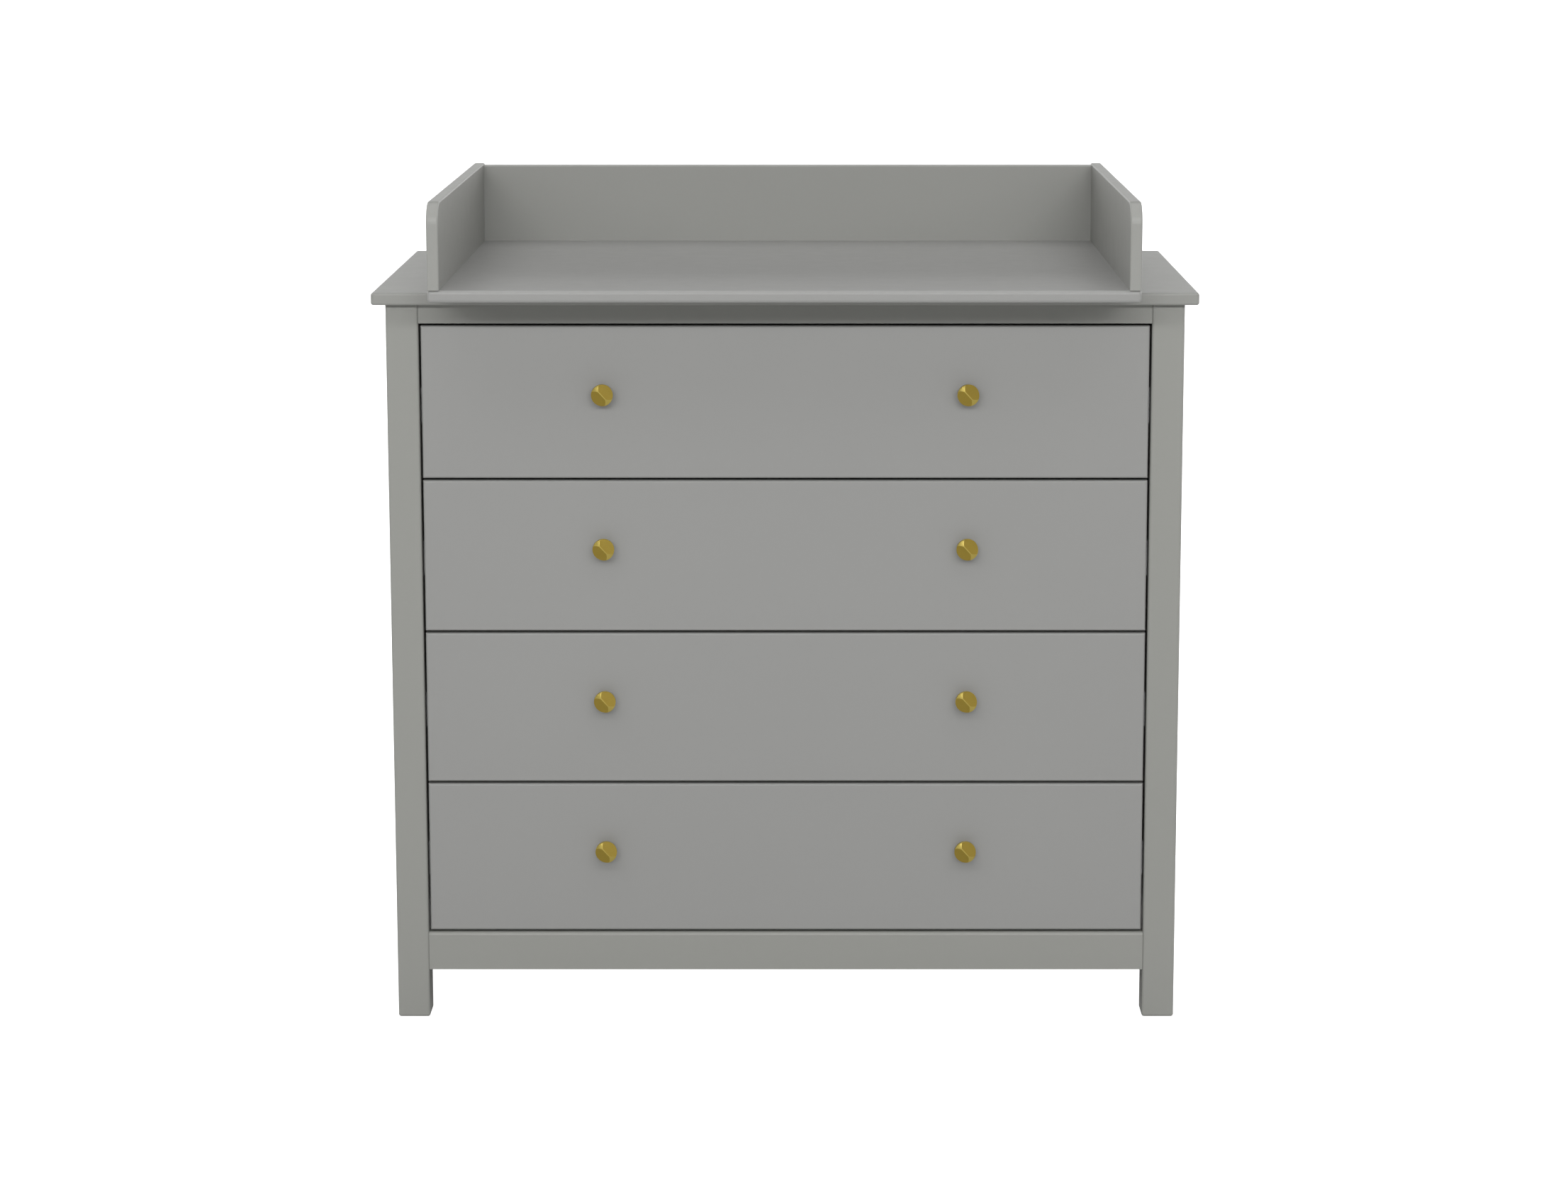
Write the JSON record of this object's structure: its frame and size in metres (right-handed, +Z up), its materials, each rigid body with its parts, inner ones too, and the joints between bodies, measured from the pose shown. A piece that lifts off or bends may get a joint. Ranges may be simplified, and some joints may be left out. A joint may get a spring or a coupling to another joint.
{
  "type": "changing dresser",
  "caption": "Painted leg-and-rail chest of full-width drawers on telescopic slides, with round knobs and an open-fronted changing tray fixed on its worktop.",
  "frame": {"origin": "middle of the footprint on the floor", "axes": "+Z up, -Y towards the person who opens the drawers, +X to the right seen from the front"},
  "size_m": [1, 0.606, 1.031],
  "materials": {
    "grey_paint": "satin grey lacquer on board and solid wood",
    "drawer_board": "pale grey foil-wrapped board",
    "hardboard": "thin fibreboard with a pale lacquered face",
    "bare_wood": "planed bare pine",
    "beech": "bare beech",
    "zinc_plated_steel": "bright zinc plating",
    "knob_brass": "satin gold lacquered brass",
    "nylon": "moulded nylon"
  },
  "bodies": {
    "carcass": {"front_leg_left": "grey_paint", "front_leg_right": "grey_paint", "rear_leg_left": "grey_paint", "rear_leg_right": "grey_paint", "side_panel_left": "grey_paint", "side_panel_right": "grey_paint", "top_front_rail": "grey_paint", "bottom_front_rail": "grey_paint", "top_rear_rail": "grey_paint", "bottom_rear_rail": "grey_paint", "worktop": "grey_paint", "tray_board": "grey_paint", "tray_wall_left": "grey_paint", "tray_wall_right": "grey_paint", "tray_back_wall": "grey_paint", "back_panel": "hardboard", "slide_battens": "bare_wood", "wood_dowels": "beech", "slide_cabinet_members": "zinc_plated_steel", "rail_cam_locks": "zinc_plated_steel", "short_wood_screws": "zinc_plated_steel", "long_wood_screws": "zinc_plated_steel", "wall_brackets": "zinc_plated_steel", "foot_glides": "nylon"},
    "drawer_1": {"drawer_1_front": "grey_paint", "drawer_1_side_left": "drawer_board", "drawer_1_side_right": "drawer_board", "drawer_1_back": "drawer_board", "drawer_1_base": "hardboard", "drawer_1_knobs": "knob_brass", "drawer_1_fasteners": "zinc_plated_steel", "drawer_1_slide_members": "zinc_plated_steel"},
    "drawer_1_slide_middle": {"drawer_1_slide_middle_members": "zinc_plated_steel"},
    "drawer_2": {"drawer_2_front": "grey_paint", "drawer_2_side_left": "drawer_board", "drawer_2_side_right": "drawer_board", "drawer_2_back": "drawer_board", "drawer_2_base": "hardboard", "drawer_2_knobs": "knob_brass", "drawer_2_fasteners": "zinc_plated_steel", "drawer_2_slide_members": "zinc_plated_steel"},
    "drawer_2_slide_middle": {"drawer_2_slide_middle_members": "zinc_plated_steel"},
    "drawer_3": {"drawer_3_front": "grey_paint", "drawer_3_side_left": "drawer_board", "drawer_3_side_right": "drawer_board", "drawer_3_back": "drawer_board", "drawer_3_base": "hardboard", "drawer_3_knobs": "knob_brass", "drawer_3_fasteners": "zinc_plated_steel", "drawer_3_slide_members": "zinc_plated_steel"},
    "drawer_3_slide_middle": {"drawer_3_slide_middle_members": "zinc_plated_steel"},
    "drawer_4": {"drawer_4_front": "grey_paint", "drawer_4_side_left": "drawer_board", "drawer_4_side_right": "drawer_board", "drawer_4_back": "drawer_board", "drawer_4_base": "hardboard", "drawer_4_knobs": "knob_brass", "drawer_4_fasteners": "zinc_plated_steel", "drawer_4_slide_members": "zinc_plated_steel"},
    "drawer_4_slide_middle": {"drawer_4_slide_middle_members": "zinc_plated_steel"}
  },
  "joints": [
    {"name": "drawer_1_pull", "type": "slide", "parent": "carcass", "child": "drawer_1", "axis": [0, -1, 0], "range_m": [0, 0.4]},
    {"name": "drawer_1_middle_travel", "type": "slide", "parent": "carcass", "child": "drawer_1_slide_middle", "axis": [0, -1, 0], "range_m": [0, 0.2]},
    {"name": "drawer_2_pull", "type": "slide", "parent": "carcass", "child": "drawer_2", "axis": [0, -1, 0], "range_m": [0, 0.4]},
    {"name": "drawer_2_middle_travel", "type": "slide", "parent": "carcass", "child": "drawer_2_slide_middle", "axis": [0, -1, 0], "range_m": [0, 0.2]},
    {"name": "drawer_3_pull", "type": "slide", "parent": "carcass", "child": "drawer_3", "axis": [0, -1, 0], "range_m": [0, 0.4]},
    {"name": "drawer_3_middle_travel", "type": "slide", "parent": "carcass", "child": "drawer_3_slide_middle", "axis": [0, -1, 0], "range_m": [0, 0.2]},
    {"name": "drawer_4_pull", "type": "slide", "parent": "carcass", "child": "drawer_4", "axis": [0, -1, 0], "range_m": [0, 0.4]},
    {"name": "drawer_4_middle_travel", "type": "slide", "parent": "carcass", "child": "drawer_4_slide_middle", "axis": [0, -1, 0], "range_m": [0, 0.2]}
  ],
  "couplings": [
    {"joint": "drawer_1_middle_travel", "follows": "drawer_1_pull", "ratio": 0.5},
    {"joint": "drawer_2_middle_travel", "follows": "drawer_2_pull", "ratio": 0.5},
    {"joint": "drawer_3_middle_travel", "follows": "drawer_3_pull", "ratio": 0.5},
    {"joint": "drawer_4_middle_travel", "follows": "drawer_4_pull", "ratio": 0.5}
  ]
}
